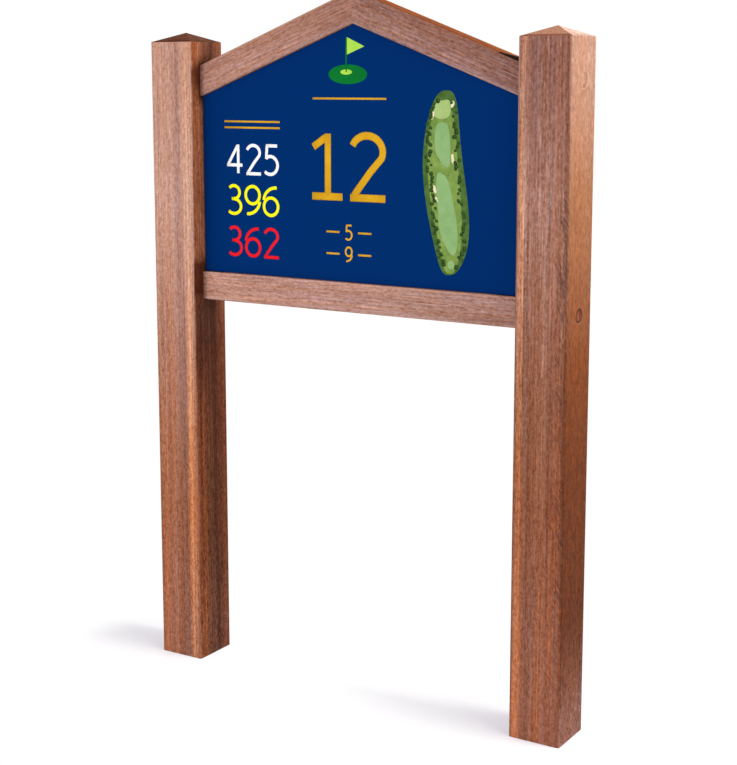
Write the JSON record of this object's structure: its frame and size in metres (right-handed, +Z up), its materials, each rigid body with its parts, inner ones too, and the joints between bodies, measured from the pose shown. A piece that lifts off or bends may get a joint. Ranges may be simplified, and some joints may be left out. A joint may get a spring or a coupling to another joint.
{
  "type": "golf tee sign",
  "caption": "Free-standing golf tee sign: square hardwood posts, a bottom rail and mitred gable rails round a navy five-sided sign panel.",
  "frame": {"origin": "on the ground, midway between the posts and midway between their front and back faces", "axes": "+X to the right as seen from the front, -Y towards the viewer of the printed side, +Z up"},
  "size_m": [0.858, 0.095, 1.2708],
  "materials": {
    "post_timber": "oiled, weathered",
    "rail_timber": "oiled, weathered",
    "bead_timber": "oiled",
    "plug_timber": "oiled",
    "dowel_timber": "plain",
    "panel_print": "satin",
    "panel_board": "plain",
    "panel_back_sheet": "satin",
    "packer_plastic": "matte",
    "zinc_steel": "zinc plated",
    "brass_screws": "dull"
  },
  "bodies": {
    "root": {"left_post": "post_timber", "right_post": "post_timber", "left_gable_rail": "rail_timber", "right_gable_rail": "rail_timber", "bottom_rail": "rail_timber", "panel_face": "panel_print", "panel_core": "panel_board", "panel_back": "panel_back_sheet", "panel_packers": "packer_plastic", "bottom_bead": "bead_timber", "left_gable_bead": "bead_timber", "right_gable_bead": "bead_timber", "left_batten": "bead_timber", "right_batten": "bead_timber", "apex_tongue": "panel_board", "rail_dowels": "dowel_timber", "coach_screws": "zinc_steel", "screw_washers": "zinc_steel", "post_plugs": "plug_timber", "bead_screws": "brass_screws", "panel_screws": "brass_screws"}
  },
  "joints": []
}
